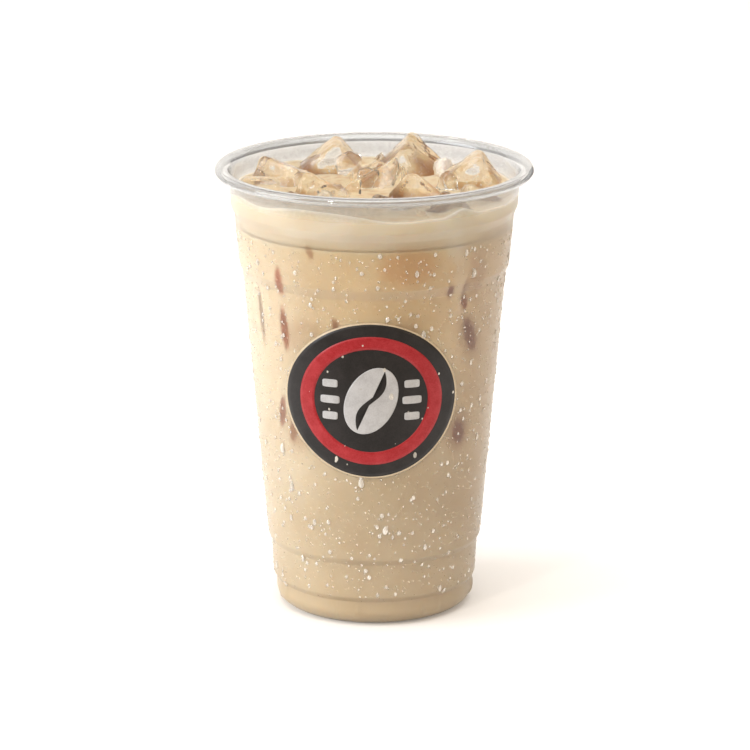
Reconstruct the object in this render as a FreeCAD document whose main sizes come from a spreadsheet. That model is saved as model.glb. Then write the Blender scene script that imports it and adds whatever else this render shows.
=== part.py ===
import FreeCAD, Part
import math
import os

import Sketcher

# Iced breve latte in a clear thermoformed cold cup, millimetres, +Z up.
# The origin is the centre of the foot ring, on the surface that the cup stands on.
# The front of the drink, with the label, faces -Y.

# ---------------------------------------------------------------- driving sizes
# Wall stations, from the foot to the rolled lip: outer radius and height above the table.
# Between two stations the wall is a cone; short steep cones are the stiffening steps.
STATIONS = (
    ("heel", 30.8, 5.0),
    ("waist", 30.7, 7.2),
    ("stack_foot", 31.7, 10.6),
    ("stack_top", 32.3, 19.0),
    ("body_foot", 33.4, 23.8),
    ("body_top", 40.6, 106.2),
    ("shoulder_foot", 41.7, 110.2),
    ("shoulder_top", 43.0, 123.8),
    ("collar_foot", 44.2, 126.8),
    ("collar_top", 44.4, 131.0),
)

CUP_SIZES = (
    ("wall", 0.6),
    ("floor_wall", 0.8),
    ("foot_radius", 25.8),
    ("heel_round", 5.0),
    ("recess_foot_radius", 24.6),
    ("recess_top_radius", 22.6),
    ("recess_depth", 2.6),
    ("floor_radius", 22.8),
    ("gutter_radius", 24.9),
    ("step_blend", 6.0),
    ("mouth_radius", 44.3),
    ("mouth_bend", 2.6),
    ("lip_radius", 49.0),
    ("lip_top", 139.5),
    ("lip_curl", 1.35),
    ("lip_tuck", 1.2),
    ("lug_proud", 0.45),
    ("lug_foot_radius", 30.48),
    ("lug_foot_level", 2.2),
    ("lug_top_level", 6.6),
    ("lug_span_angle", 12.0),
    ("lug_count", 7),
    ("lug_turn", -3.5),
)

DRINK_SIZES = (
    ("drink_level", 122.0),
    ("below_reach", 60.0),
    ("foam_level", 131.4),
    ("foam_swell", 0.5),
    ("foam_swell_pitch", 31.0),
    ("foam_slab", 16.0),
    ("foam_half_span", 46.0),
    ("foam_steps", 14),
)

LABEL_SIZES = (
    ("label_half_width", 26.0),
    ("label_half_height", 25.0),
    ("label_middle_x", -1.0),
    ("label_middle_level", 74.7),
    ("label_thick", 0.25),
    ("label_reach", 60.0),
)

ICE_SIZES = (
    ("ice_round", 2.6),
    ("ice_draft", 3.0),
    ("dimple_radius", 13.0),
    ("dimple_depth", 1.1),
)

# Froth piled against the wall: bearing from the front in degrees (towards +X positive),
# distance from the axis, height above the foam's level and spread.
FROTH_MOUNDS = (
    (-26, 41, 2.6, 15),
    (-64, 42, 1.1, 12),
    (37, 42, 2.8, 4.5),
    (118, 42, 1.0, 12),
    (-140, 40, 1.2, 10),
    (170, 42, 0.8, 14),
)

# The ice, cube by cube: length, width and height, then the middle's place,
# then yaw, pitch and roll in degrees.
ICE_CUBES = (
    ((18.5, 15.0, 14.5), (-14.0, 27.5, 131.5), (180, 40, -90)),
    ((20.0, 20.5, 17.0), (11.0, 28.5, 129.0), (160, 45, -100)),
    ((16.5, 14.5, 12.5), (30.0, 7.0, 132.5), (175, 35, -90)),
    ((15.5, 17.0, 13.5), (-29.5, 10.5, 130.5), (-150, 65, -35)),
    ((13.5, 9.5, 10.0), (-35.0, -5.5, 132.5), (-175, 0, -70)),
    ((15.5, 17.0, 11.5), (-17.0, -8.5, 129.5), (-150, 60, -50)),
    ((16.0, 12.5, 9.5), (-1.0, 10.5, 132.5), (95, 15, -20)),
    ((13.5, 15.5, 12.0), (13.0, -6.0, 129.5), (-155, 45, -50)),
    ((13.0, 14.5, 12.5), (5.0, -22.5, 127.5), (-155, 65, -25)),
    ((12.0, 12.5, 12.0), (23.0, -26.5, 129.5), (-155, 45, -20)),
    ((14.0, 14.0, 11.0), (31.0, -10.0, 127.5), (-140, 55, -55)),
    ((13.0, 13.0, 11.5), (-15.0, -23.5, 129.0), (-160, 35, -55)),
)

SHEET = "Sizes"
BAD_STATES = {"Invalid", "Error"}


# ---------------------------------------------------------------- document helpers
def make_sheet(doc):
    """Spreadsheet with every driving size in a named cell."""
    sheet = doc.addObject("Spreadsheet::Sheet", SHEET)
    rows = list(CUP_SIZES + DRINK_SIZES + LABEL_SIZES + ICE_SIZES)
    for name, radius, level in STATIONS:
        rows.append((name + "_radius", radius))
        rows.append((name + "_level", level))
    for number, (size, _, _) in enumerate(ICE_CUBES, start=1):
        for side, value in zip(("length", "width", "height"), size):
            rows.append((f"ice_{number:02d}_{side}", value))
    for row, (name, value) in enumerate(rows, start=1):
        sheet.set(f"A{row}", name)
        sheet.set(f"B{row}", str(value))
        sheet.setAlias(f"B{row}", name)
    doc.recompute()
    return sheet


def value_of(sheet, words):
    """Number for a size written in words, such as 'heel_radius - wall'."""
    total = 0.0
    sign = 1.0
    for word in words.split():
        if word in "+-":
            sign = 1.0 if word == "+" else -1.0
            continue
        total += sign * (float(word) if word[0].isdigit() else float(sheet.get(word)))
    return total


def formula_of(words):
    """The same size as an expression on the sheet's cells."""
    return " ".join(
        word if word in "+-" or word[0].isdigit() else f"{SHEET}.{word}"
        for word in words.split()
    )


def origin_part(body, role):
    """Origin plane or axis of a body, found by its role."""
    return next(part for part in body.Origin.OriginFeatures if part.Role == role)


def new_sketch(body, name, plane):
    """Sketch on one of the body's own origin planes."""
    sketch = body.newObject("Sketcher::SketchObject", name)
    sketch.AttachmentSupport = [(origin_part(body, plane), "")]
    sketch.MapMode = "FlatFace"
    return sketch


def bind(sketch, constraint, words):
    """Add a constraint and drive it from the sheet."""
    index = sketch.addConstraint(constraint)
    sketch.setExpression(f"Constraints[{index}]", formula_of(words))


def draw_outline(sheet, sketch, corners, rounds=None, hollows=None):
    """Closed outline through named corners, counterclockwise.

    corners: (radius, level) in words. rounds and hollows: {edge number: radius in
    words}. The edge that leaves that corner is an arc, bulging outwards in rounds
    and inwards in hollows.
    """
    rounds = rounds or {}
    hollows = hollows or {}
    points = [
        FreeCAD.Vector(value_of(sheet, across), value_of(sheet, up), 0)
        for across, up in corners
    ]
    count = len(points)
    ends = []
    for edge in range(count):
        start = points[edge]
        end = points[(edge + 1) % count]
        ends.append((2, 1) if edge in hollows else (1, 2))
        if edge in rounds:
            sketch.addGeometry(bulging_arc(start, end, value_of(sheet, rounds[edge])))
        elif edge in hollows:
            sketch.addGeometry(bulging_arc(end, start, value_of(sheet, hollows[edge])))
        else:
            sketch.addGeometry(Part.LineSegment(start, end))
    link = Sketcher.Constraint
    for edge in range(count):
        after = (edge + 1) % count
        sketch.addConstraint(
            link("Coincident", edge, ends[edge][1], after, ends[after][0])
        )
    for edge, (across, up) in enumerate(corners):
        place = points[edge]
        tip = ends[edge][0]
        bind(sketch, link("DistanceX", -1, 1, edge, tip, place.x), across)
        bind(sketch, link("DistanceY", -1, 1, edge, tip, place.y), up)
    for edge, words in {**rounds, **hollows}.items():
        bind(sketch, link("Radius", edge, value_of(sheet, words)), words)


def bulging_arc(start, end, radius):
    """Arc from start to end with its middle on the right of the chord."""
    chord = end - start
    middle = (start + end) * 0.5
    side = FreeCAD.Vector(chord.y, -chord.x, 0).normalize()
    drop = math.sqrt(max(radius**2 - (chord.Length / 2) ** 2, 0.0))
    top = middle + side * (radius - drop)
    return Part.Arc(start, top, end)


def revolve(doc, body, sketch, name, kind="PartDesign::Revolution", angle=None):
    """Turn a sketch about the body's Z axis; a Groove cuts what it sweeps."""
    before = body.Shape.Volume if body.Tip else 0.0
    feature = body.newObject(kind, name)
    feature.Profile = sketch
    feature.ReferenceAxis = (origin_part(body, "Z_Axis"), [""])
    if angle:
        feature.Midplane = True
        feature.setExpression("Angle", formula_of(angle))
    else:
        feature.Angle = 360.0
    doc.recompute()
    if kind == "PartDesign::Groove" and not body.Shape.Volume < before - 1.0:
        raise RuntimeError(name + " cuts nothing")
    return feature


# ---------------------------------------------------------------- the cup
def wall_corners(inside):
    """Corners of the wall's outer or inner face, from the heel up to the lip's bend."""
    thick = " - wall" if inside else ""
    corners = [(f"{name}_radius{thick}", f"{name}_level") for name, _, _ in STATIONS]
    bend = "mouth_radius" if inside else "mouth_radius + wall"
    return corners + [(bend, "lip_top - mouth_bend"), ("0", "lip_top - mouth_bend")]


def cavity_corners():
    """Outline of the space inside the cup: raised floor, gutter, heel and wall."""
    floor = [
        ("0", "recess_depth + floor_wall"),
        ("floor_radius", "recess_depth + floor_wall"),
        ("gutter_radius", "wall"),
        ("foot_radius", "wall"),
    ]
    return floor + wall_corners(inside=True)


CAVITY_ROUND = {3: "heel_round - wall"}


def soften(doc, sheet, body, name, inside):
    """Round the kinks where the wall changes slope, as hot film does over a mould."""
    thick = " - wall" if inside else ""
    places = [
        (value_of(sheet, f"{station}_radius{thick}"), value_of(sheet, f"{station}_level"))
        for station, _, _ in STATIONS[1:-1]
    ]
    base = body.Tip
    edges = [
        f"Edge{number}"
        for number, edge in enumerate(base.Shape.Edges, start=1)
        if is_ring(edge, places)
    ]
    if len(edges) != len(places):
        raise RuntimeError(f"{name}: {len(edges)} rings for {len(places)} kinks")
    fillet = body.newObject("PartDesign::Fillet", name)
    fillet.Base = (base, edges)
    fillet.setExpression("Radius", formula_of("step_blend"))
    doc.recompute()


def is_ring(edge, places):
    """True for a circle about the Z axis with one of the given radii and levels."""
    if not isinstance(edge.Curve, Part.Circle):
        return False
    centre = edge.Curve.Center
    return any(
        math.hypot(centre.x, centre.y) < 0.01
        and abs(edge.Curve.Radius - radius) < 0.01
        and abs(centre.z - level) < 0.01
        for radius, level in places
    )


def make_cup(doc, sheet):
    """One thermoformed piece: foot, lugs, stepped wall and rolled lip."""
    body = doc.addObject("PartDesign::Body", "cup")
    body.Label = "cup"

    outside = new_sketch(body, "cup_outside", "XZ_Plane")
    corners = [("0", "0"), ("foot_radius", "0")] + wall_corners(inside=False)
    draw_outline(sheet, outside, corners, {1: "heel_round"})
    revolve(doc, body, outside, "cup_blank")
    soften(doc, sheet, body, "cup_outer_blends", inside=False)

    lugs = make_lugs(doc, sheet, body)

    inside = new_sketch(body, "cup_inside", "XZ_Plane")
    draw_outline(sheet, inside, cavity_corners(), CAVITY_ROUND)
    revolve(doc, body, inside, "cup_cavity", "PartDesign::Groove")
    soften(doc, sheet, body, "cup_inner_blends", inside=True)

    under = new_sketch(body, "cup_under", "XZ_Plane")
    corners = [
        ("0", "0"),
        ("recess_foot_radius", "0"),
        ("recess_top_radius", "recess_depth"),
        ("0", "recess_depth"),
    ]
    draw_outline(sheet, under, corners)
    revolve(doc, body, under, "cup_recess", "PartDesign::Groove")

    make_lip(doc, sheet, body)
    turn = FreeCAD.Rotation(FreeCAD.Vector(0, 0, 1), value_of(sheet, "lug_turn"))
    body.Placement = FreeCAD.Placement(FreeCAD.Vector(), turn)
    return body, lugs


def make_lugs(doc, sheet, body):
    """Stacking lugs: shallow pads round the heel that follow its curve."""
    sketch = new_sketch(body, "lug_profile", "XZ_Plane")
    corners = [
        ("foot_radius", "lug_foot_level"),
        ("lug_foot_radius", "lug_foot_level"),
        ("heel_radius + lug_proud", "heel_level"),
        ("heel_radius + lug_proud", "lug_top_level"),
        ("foot_radius", "lug_top_level"),
    ]
    draw_outline(sheet, sketch, corners, {1: "heel_round + lug_proud"})
    lug = revolve(doc, body, sketch, "lug", angle="lug_span_angle")
    ring = body.newObject("PartDesign::PolarPattern", "lug_ring")
    ring.Originals = [lug]
    ring.Axis = (origin_part(body, "Z_Axis"), [""])
    ring.Angle = 360.0
    ring.setExpression("Occurrences", formula_of("lug_count"))
    body.Tip = ring
    doc.recompute()
    return ring


def make_lip(doc, sheet, body):
    """Rolled lip: the wall bends out over the top, round the brim and back under."""
    sketch = new_sketch(body, "lip_profile", "XZ_Plane")
    tuck = "lip_radius - lip_curl - lip_tuck"
    bottom = "lip_top - lip_curl - lip_curl"
    corners = [
        (tuck, bottom),
        ("lip_radius - lip_curl", bottom),
        ("lip_radius", "lip_top - lip_curl"),
        ("lip_radius - lip_curl", "lip_top"),
        ("mouth_radius + mouth_bend", "lip_top"),
        ("mouth_radius", "lip_top - mouth_bend"),
        ("mouth_radius + wall", "lip_top - mouth_bend"),
        ("mouth_radius + mouth_bend", "lip_top - wall"),
        ("lip_radius - lip_curl", "lip_top - wall"),
        ("lip_radius - wall", "lip_top - lip_curl"),
        ("lip_radius - lip_curl", bottom + " + wall"),
        (tuck, bottom + " + wall"),
    ]
    rounds = {1: "lip_curl", 2: "lip_curl", 4: "mouth_bend"}
    hollows = {6: "mouth_bend - wall", 8: "lip_curl - wall", 9: "lip_curl - wall"}
    draw_outline(sheet, sketch, corners, rounds, hollows)
    revolve(doc, body, sketch, "lip")


# ---------------------------------------------------------------- the ice
def make_ice_cube(doc, sheet, number, place, turn):
    """A machine-made cube: drafted sides, melted edges and a dimpled face."""
    name = f"ice_{number:02d}"
    body = doc.addObject("PartDesign::Body", name)
    body.Label = name
    half_length = f"{SHEET}.{name}_length / 2"
    half_width = f"{SHEET}.{name}_width / 2"
    length = value_of(sheet, name + "_length")
    width = value_of(sheet, name + "_width")
    height = value_of(sheet, name + "_height")

    sketch = new_sketch(body, name + "_foot", "XY_Plane")
    corners = [
        FreeCAD.Vector(across * length / 2, along * width / 2, 0)
        for across, along in ((-1, -1), (1, -1), (1, 1), (-1, 1))
    ]
    for edge, start in enumerate(corners):
        sketch.addGeometry(Part.LineSegment(start, corners[(edge + 1) % 4]))
    for edge in range(4):
        following = (edge + 1) % 4
        sketch.addConstraint(Sketcher.Constraint("Coincident", edge, 2, following, 1))
        level = "Horizontal" if edge % 2 == 0 else "Vertical"
        sketch.addConstraint(Sketcher.Constraint(level, edge))
    for corner, kind, half, formula in (
        (0, "DistanceX", -length / 2, "-" + half_length),
        (0, "DistanceY", -width / 2, "-" + half_width),
        (2, "DistanceX", length / 2, half_length),
        (2, "DistanceY", width / 2, half_width),
    ):
        index = sketch.addConstraint(Sketcher.Constraint(kind, -1, 1, corner, 1, half))
        sketch.setExpression(f"Constraints[{index}]", formula)

    pad = body.newObject("PartDesign::Pad", name + "_block")
    pad.Profile = sketch
    pad.setExpression("Length", f"{SHEET}.{name}_height")
    pad.setExpression("TaperAngle", f"-{SHEET}.ice_draft")
    doc.recompute()

    soft = body.newObject("PartDesign::Fillet", name + "_melt")
    soft.Base = (pad, [])
    soft.UseAllEdges = True
    soft.setExpression("Radius", f"{SHEET}.ice_round")
    doc.recompute()

    radius = value_of(sheet, "dimple_radius")
    depth = value_of(sheet, "dimple_depth")
    ball_level = height + radius - depth
    dimple = body.newObject("PartDesign::SubtractiveSphere", name + "_dimple")
    dimple.setExpression("Radius", f"{SHEET}.dimple_radius")
    dimple.Placement = FreeCAD.Placement(
        FreeCAD.Vector(0, 0, ball_level), FreeCAD.Rotation()
    )
    doc.recompute()

    spin = FreeCAD.Rotation(*turn)
    drop = spin.multVec(FreeCAD.Vector(0, 0, height / 2))
    body.Placement = FreeCAD.Placement(FreeCAD.Vector(*place) - drop, spin)
    return body


def make_ice(doc, sheet):
    """The heap of cubes that breaks the surface."""
    cubes = []
    for number, (_, place, turn) in enumerate(ICE_CUBES, start=1):
        cubes.append(make_ice_cube(doc, sheet, number, place, turn))
    return cubes


# ---------------------------------------------------------------- drink and foam
def make_cavity_fill(doc, sheet):
    """Solid that fills the cup up to the lip's bend."""
    body = doc.addObject("PartDesign::Body", "cavity_fill")
    sketch = new_sketch(body, "fill_profile", "XZ_Plane")
    draw_outline(sheet, sketch, cavity_corners(), CAVITY_ROUND)
    revolve(doc, body, sketch, "fill_turned")
    soften(doc, sheet, body, "fill_blends", inside=True)
    return body


def froth_height(sheet, across, along):
    """Level of the foam's top: a gentle swell with froth piled by the wall."""
    pitch = value_of(sheet, "foam_swell_pitch")
    level = value_of(sheet, "foam_level")
    level += value_of(sheet, "foam_swell") * (
        math.sin(across / pitch * math.tau) * math.cos(along / pitch * math.tau)
    )
    for bearing, reach, rise, spread in FROTH_MOUNDS:
        angle = math.radians(bearing)
        gap = math.hypot(
            across - reach * math.sin(angle), along + reach * math.cos(angle)
        )
        level += rise * math.exp(-((gap / spread) ** 2))
    return level


def make_froth_slab(doc, sheet):
    """Slab under the foam's uneven top surface, wider than the cup."""
    half = value_of(sheet, "foam_half_span")
    steps = int(value_of(sheet, "foam_steps"))
    marks = [half * (2 * step / steps - 1) for step in range(steps + 1)]
    grid = [
        [
            FreeCAD.Vector(across, along, froth_height(sheet, across, along))
            for along in marks
        ]
        for across in marks
    ]
    surface = Part.BSplineSurface()
    surface.interpolate(grid)
    slab = doc.addObject("Part::Feature", "froth_slab")
    depth = value_of(sheet, "foam_slab")
    slab.Shape = surface.toShape().extrude(FreeCAD.Vector(0, 0, -depth))
    return slab


def join(doc, kind, name, base, tool):
    """Boolean of two objects: 'Cut' or 'Common'."""
    result = doc.addObject("Part::" + kind, name)
    result.Label = name
    result.Base = base
    result.Tool = tool
    return result


def make_drink_and_foam(doc, sheet, cubes):
    """Drink up to its level, foam on it, both cut round the ice."""
    heap = doc.addObject("Part::Compound", "ice_heap")
    heap.Links = cubes
    fill = make_cavity_fill(doc, sheet)
    slab = make_froth_slab(doc, sheet)
    below = doc.addObject("Part::Cylinder", "below_level")
    below.setExpression("Height", formula_of("drink_level"))
    below.setExpression("Radius", formula_of("below_reach"))

    drink_whole = join(doc, "Common", "drink_whole", fill, below)
    froth_whole = join(doc, "Common", "froth_whole", fill, slab)
    foam_whole = join(doc, "Cut", "foam_whole", froth_whole, below)
    drink = join(doc, "Cut", "drink", drink_whole, heap)
    foam = join(doc, "Cut", "foam", foam_whole, heap)
    doc.recompute()
    return drink, foam


# ---------------------------------------------------------------- the label
def make_label(doc, sheet):
    """Oval sticker wrapped on the front of the tapered wall."""
    sleeve = doc.addObject("PartDesign::Body", "label_sleeve")
    sketch = new_sketch(sleeve, "label_section", "XZ_Plane")
    corners = [
        ("body_foot_radius", "body_foot_level"),
        ("body_foot_radius + label_thick", "body_foot_level"),
        ("body_top_radius + label_thick", "body_top_level"),
        ("body_top_radius", "body_top_level"),
    ]
    draw_outline(sheet, sketch, corners)
    revolve(doc, sleeve, sketch, "label_turned")

    oval = doc.addObject("Part::Ellipse", "label_oval")
    oval.setExpression("MajorRadius", formula_of("label_half_width"))
    oval.setExpression("MinorRadius", formula_of("label_half_height"))
    middle = FreeCAD.Vector(
        value_of(sheet, "label_middle_x"), 0, value_of(sheet, "label_middle_level")
    )
    upright = FreeCAD.Rotation(FreeCAD.Vector(1, 0, 0), 90)
    oval.Placement = FreeCAD.Placement(middle, upright)

    punch = doc.addObject("Part::Extrusion", "label_punch")
    punch.Base = oval
    punch.Dir = FreeCAD.Vector(0, -1, 0)
    punch.setExpression("LengthFwd", formula_of("label_reach"))
    punch.Solid = True

    label = join(doc, "Common", "label", sleeve, punch)
    doc.recompute()
    return label


# ---------------------------------------------------------------- build and write
def check(doc, pieces):
    """Stop on any failed feature, and on any piece that isn't one sound solid."""
    for item in doc.Objects:
        if BAD_STATES & set(item.State):
            raise RuntimeError(f"{item.Name}: {item.State}")
    for piece in pieces:
        shape = piece.Shape
        if shape.isNull() or not shape.isValid() or len(shape.Solids) != 1:
            raise RuntimeError(f"{piece.Label} is not one valid solid")


def main():
    """Build the document and write one STEP file for each piece."""
    doc = FreeCAD.newDocument("breve_latte")
    sheet = make_sheet(doc)
    cup, lugs = make_cup(doc, sheet)
    cubes = make_ice(doc, sheet)
    drink, foam = make_drink_and_foam(doc, sheet, cubes)
    label = make_label(doc, sheet)
    pieces = [cup, drink, foam, label] + cubes
    doc.recompute()
    check(doc, pieces + [lugs])
    os.makedirs("parts", exist_ok=True)
    for piece in pieces:
        piece.Shape.exportStep(f"parts/{piece.Label}.step")
        box = piece.Shape.BoundBox
        print(f"{piece.Label}: {piece.Shape.Volume:.0f} mm3, z {box.ZMin:.2f} to {box.ZMax:.2f}")


main()
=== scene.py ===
import logging
import math
import random
from dataclasses import dataclass, field
from enum import Enum
from typing import Callable, Dict, List, Optional, Sequence, Tuple

import bmesh
import bpy
import numpy as np
from mathutils import Matrix, Vector, noise


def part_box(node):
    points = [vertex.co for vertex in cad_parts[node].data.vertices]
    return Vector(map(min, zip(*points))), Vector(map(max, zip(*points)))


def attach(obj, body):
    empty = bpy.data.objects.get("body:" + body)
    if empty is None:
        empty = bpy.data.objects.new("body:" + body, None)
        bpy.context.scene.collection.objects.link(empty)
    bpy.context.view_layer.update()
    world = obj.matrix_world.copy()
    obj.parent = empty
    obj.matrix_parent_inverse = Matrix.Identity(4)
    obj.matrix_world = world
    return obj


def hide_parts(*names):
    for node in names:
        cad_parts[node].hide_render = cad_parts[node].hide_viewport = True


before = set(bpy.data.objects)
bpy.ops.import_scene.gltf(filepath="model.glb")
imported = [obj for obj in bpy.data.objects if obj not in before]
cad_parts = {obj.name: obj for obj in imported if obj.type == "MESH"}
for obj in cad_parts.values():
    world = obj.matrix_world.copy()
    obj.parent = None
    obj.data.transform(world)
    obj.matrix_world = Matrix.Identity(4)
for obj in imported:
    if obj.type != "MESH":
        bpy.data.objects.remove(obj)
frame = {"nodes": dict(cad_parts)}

LOG = logging.getLogger("iced_latte")
MM = 0.001
BODY = "root"
TINT = "drink_tint"
Point = Tuple[float, float]


# ------------------------------------------------------------------ small helpers
def linear(hex_colour: str) -> Tuple[float, float, float, float]:
    """Turn an sRGB hex colour such as "#c8a26b" into linear RGBA.

    Args:
        hex_colour: the colour as a hash and six hex digits.

    Returns:
        Red, green, blue and an alpha of 1, as Blender's sockets take them.
    """
    channels = [int(hex_colour[place:place + 2], 16) / 255 for place in (1, 3, 5)]
    bent = [c / 12.92 if c <= 0.04045 else ((c + 0.055) / 1.055) ** 2.4 for c in channels]
    return bent[0], bent[1], bent[2], 1.0


def ease(value: np.ndarray, low: float, high: float) -> np.ndarray:
    """Smooth step from 0 at low to 1 at high, for numbers or arrays.

    Args:
        value: what is eased.
        low: where the step starts.
        high: where it ends; may lie below low.

    Returns:
        The eased share, from 0 to 1.
    """
    share = np.clip((value - low) / (high - low), 0.0, 1.0)
    return share * share * (3 - 2 * share)


class Tree:
    """A node tree that one function builds, a node at each call."""

    def __init__(self, tree: bpy.types.NodeTree) -> None:
        """Keep the tree and empty it."""
        self.tree = tree
        tree.nodes.clear()

    def add(
        self,
        kind: str,
        links: Optional[Dict] = None,
        stops: Sequence[Tuple[float, str]] = (),
        **settings,
    ) -> bpy.types.Node:
        """Add a node with its settings and its links.

        Args:
            kind: the node's type, such as "ShaderNodeTexNoise".
            links: {input's name or number: a socket, a node for its first output, or a plain value}.
            stops: (place, hex colour) of a colour ramp's two ends.
            settings: the node's own properties.

        Returns:
            The new node.
        """
        node = self.tree.nodes.new(kind)
        for name, value in settings.items():
            setattr(node, name, value)
        for name, value in (links or {}).items():
            source = value.outputs[0] if isinstance(value, bpy.types.Node) else value
            if isinstance(source, bpy.types.NodeSocket):
                self.tree.links.new(source, node.inputs[name])
            else:
                node.inputs[name].default_value = source
        if stops:
            for element, (place, colour) in zip(node.color_ramp.elements, stops):
                element.position = place
                element.color = linear(colour)
        return node


def new_material(name: str) -> Tuple[bpy.types.Material, Tree, bpy.types.NodeSocket]:
    """Make an empty node material.

    Args:
        name: the material's name.

    Returns:
        The material, its tree and the object coordinates that its patterns read.
    """
    material = bpy.data.materials.new(name)
    material.use_nodes = True
    tree = Tree(material.node_tree)
    return material, tree, tree.add("ShaderNodeTexCoord").outputs["Object"]


def lamplit(tree: Tree, surface: bpy.types.Node, lamp_pass: float) -> bpy.types.Node:
    """Let lamps shine straight through a clear surface, which thin clear things do.

    Args:
        tree: the material's tree.
        surface: the clear surface's shader.
        lamp_pass: share of the lamps' light that passes.

    Returns:
        The shader of both.
    """
    open_way = tree.add("ShaderNodeBsdfTransparent", {0: (lamp_pass,) * 3 + (1.0,)})
    shadow = tree.add("ShaderNodeLightPath").outputs["Is Shadow Ray"]
    return tree.add("ShaderNodeMixShader", {0: shadow, 1: surface, 2: open_way})


def linked(name: str, mesh: bpy.types.Mesh) -> bpy.types.Object:
    """Put a mesh in the scene as an object at the origin.

    Args:
        name: the object's name.
        mesh: its mesh.

    Returns:
        The object.
    """
    piece = bpy.data.objects.new(name, mesh)
    bpy.context.scene.collection.objects.link(piece)
    return piece


def poured(name: str, solid: bmesh.types.BMesh) -> bpy.types.Object:
    """Turn an edit mesh into an object in the scene, and free it.

    Args:
        name: the object's and the mesh's name.
        solid: the edit mesh.

    Returns:
        The object.
    """
    mesh = bpy.data.meshes.new(name)
    solid.to_mesh(mesh)
    solid.free()
    return linked(name, mesh)


def smoothed(piece: bpy.types.Object) -> None:
    """Shade a piece smoothly; a cutter stays flat, since the cut faces take its shading."""
    piece.data.polygons.foreach_set("use_smooth", [True] * len(piece.data.polygons))


def dressed(piece: bpy.types.Object, material: bpy.types.Material) -> None:
    """Make a piece smooth and give it its one material.

    Args:
        piece: the piece, which is changed in place.
        material: its finish.
    """
    smoothed(piece)
    piece.data.materials.clear()
    piece.data.materials.append(material)


def new_piece(
    name: str,
    vertices: Sequence,
    faces: Sequence[Sequence[int]],
    material: bpy.types.Material,
    slot: str,
) -> bpy.types.Object:
    """Make one smooth mesh piece that rides on the drink's body.

    Args:
        name: the piece's name.
        vertices: places in metres, in the frame.
        faces: vertex numbers of each face.
        material: its finish.
        slot: a name passed on to enrol.

    Returns:
        The linked object, with its normals outward.
    """
    mesh = bpy.data.meshes.new(name)
    mesh.from_pydata([tuple(place) for place in vertices], [], faces)
    tidy = bmesh.new()
    tidy.from_mesh(mesh)
    bmesh.ops.recalc_face_normals(tidy, faces=tidy.faces)
    tidy.to_mesh(mesh)
    tidy.free()
    piece = linked(name, mesh)
    dressed(piece, material)
    enrol(piece, slot)
    return piece


def blended(low: np.ndarray, high: np.ndarray, share: np.ndarray) -> np.ndarray:
    """Mix two colours, or arrays of them, by the share of the second."""
    return low * (1 - share) + high * share


def enrol(piece: bpy.types.Object, slot: str, *nodes: str) -> None:
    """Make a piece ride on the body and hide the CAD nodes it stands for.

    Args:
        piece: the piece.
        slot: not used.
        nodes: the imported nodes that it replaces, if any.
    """
    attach(piece, BODY)
    if nodes:
        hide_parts(*nodes)


def report(piece: bpy.types.Object) -> None:
    """Log a piece's name and its number of faces."""
    LOG.info("%s: %d faces", piece.name, len(piece.data.polygons))


# ------------------------------------------------------------------ section drawing
def rounded(corners: Sequence[Tuple[float, float, float]], step_degrees: float = 7.0) -> List[Point]:
    """Round the corners of an open outline.

    Args:
        corners: (radius, level, rounding) in metres; a rounding of 0 stays sharp.
        step_degrees: how far apart the points of an arc are.

    Returns:
        The outline's points, arcs included.
    """
    places = [Vector(corner[:2]) for corner in corners]
    path: List[Point] = [tuple(places[0])]
    for here in range(1, len(places) - 1):
        back = (places[here - 1] - places[here]).normalized()
        ahead = (places[here + 1] - places[here]).normalized()
        rounding = corners[here][2]
        turn = math.pi - back.angle(ahead)
        if rounding == 0 or turn < 1e-4:
            path.append(tuple(places[here]))
            continue
        reach = rounding * math.tan(turn / 2)
        centre = places[here] + (back + ahead).normalized() * rounding / math.cos(turn / 2)
        spoke = places[here] + back * reach - centre
        sense = 1 if back.x * ahead.y - back.y * ahead.x < 0 else -1
        steps = max(2, math.ceil(math.degrees(turn) / step_degrees))
        for step in range(steps + 1):
            angle = sense * turn * step / steps
            path.append(tuple(centre + Matrix.Rotation(angle, 2) @ spoke))
    path.append(tuple(places[-1]))
    return path


def divided(path: Sequence[Point], longest: float) -> List[Point]:
    """Divide an outline's long runs.

    Args:
        path: the outline's points.
        longest: no run is longer than this afterwards.

    Returns:
        The points with the new ones between them.
    """
    fine = [path[0]]
    for start, end in zip(path, path[1:]):
        steps = max(1, math.ceil(math.dist(start, end) / longest))
        for step in range(1, steps + 1):
            share = step / steps
            fine.append(tuple(a + (b - a) * share for a, b in zip(start, end)))
    return fine


def turned(path: Sequence[Point], around: int) -> Tuple[List[Vector], List[Tuple[int, ...]]]:
    """Turn an outline about the Z axis; an end on the axis becomes a pole.

    Args:
        path: (radius, level) points.
        around: number of steps round.

    Returns:
        Vertices and faces. Step 0 is at the front, towards -Y, and the steps go towards +X.
    """
    vertices: List[Vector] = []
    rings: List[List[int]] = []
    for radius, level in path:
        if radius < 1e-7:
            rings.append([len(vertices)])
            vertices.append(Vector((0.0, 0.0, level)))
            continue
        rings.append(list(range(len(vertices), len(vertices) + around)))
        for step in range(around):
            bearing = math.tau * step / around
            vertices.append(Vector((radius * math.sin(bearing), -radius * math.cos(bearing), level)))
    return vertices, stitched(rings)


def stitched(rings: Sequence[Sequence[int]]) -> List[Tuple[int, ...]]:
    """Join rings of vertices with quads, and poles with triangles.

    Args:
        rings: vertex numbers of each ring; a ring of one is a pole.

    Returns:
        The faces.
    """
    faces: List[Tuple[int, ...]] = []
    for low, high in zip(rings, rings[1:]):
        count = max(len(low), len(high))
        for step in range(count):
            after = (step + 1) % count
            if len(low) == 1:
                faces.append((low[0], high[step], high[after]))
            elif len(high) == 1:
                faces.append((low[step], low[after], high[0]))
            else:
                faces.append((low[step], low[after], high[after], high[step]))
    return faces


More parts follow.
